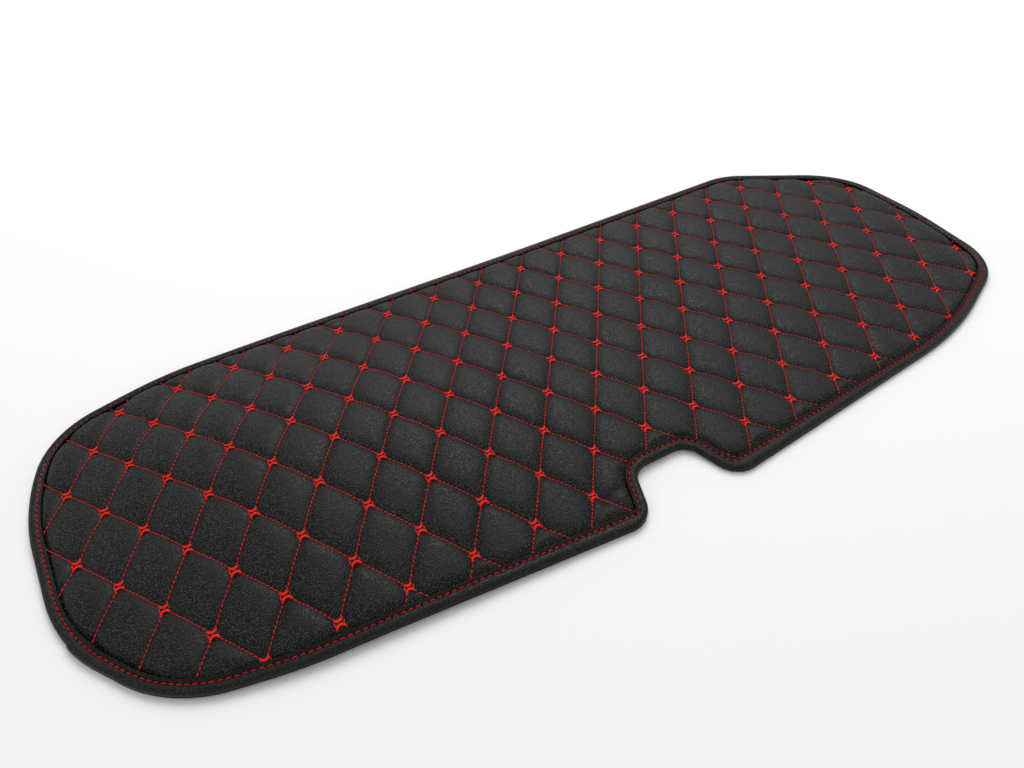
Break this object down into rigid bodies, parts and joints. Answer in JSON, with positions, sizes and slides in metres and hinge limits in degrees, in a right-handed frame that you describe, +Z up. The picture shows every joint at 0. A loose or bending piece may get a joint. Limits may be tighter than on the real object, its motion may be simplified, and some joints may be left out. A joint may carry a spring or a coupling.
{
  "type": "padded trunk liner",
  "caption": "Flat, diamond-quilted floor mat for a car's trunk, with a sewn edge binding and a notch for the lid's latch.",
  "frame": {"origin": "on the floor, at the middle of the mat's box", "axes": "+X along the mat, +Y away from the notched edge, +Z up from the floor"},
  "size_m": [1.0394, 0.4092, 0.0354],
  "materials": {
    "quilted_leatherette": "pebble grain, soft sheen",
    "backing_cloth": "matt non-woven cloth",
    "binding_leatherette": "fine grain, satin",
    "red_thread": "twisted thread, satin"
  },
  "bodies": {
    "root": {"quilted_sheet": "quilted_leatherette", "backing_cloth": "backing_cloth", "edge_binding": "binding_leatherette", "quilting_thread": "red_thread", "binding_thread": "red_thread"}
  },
  "joints": []
}
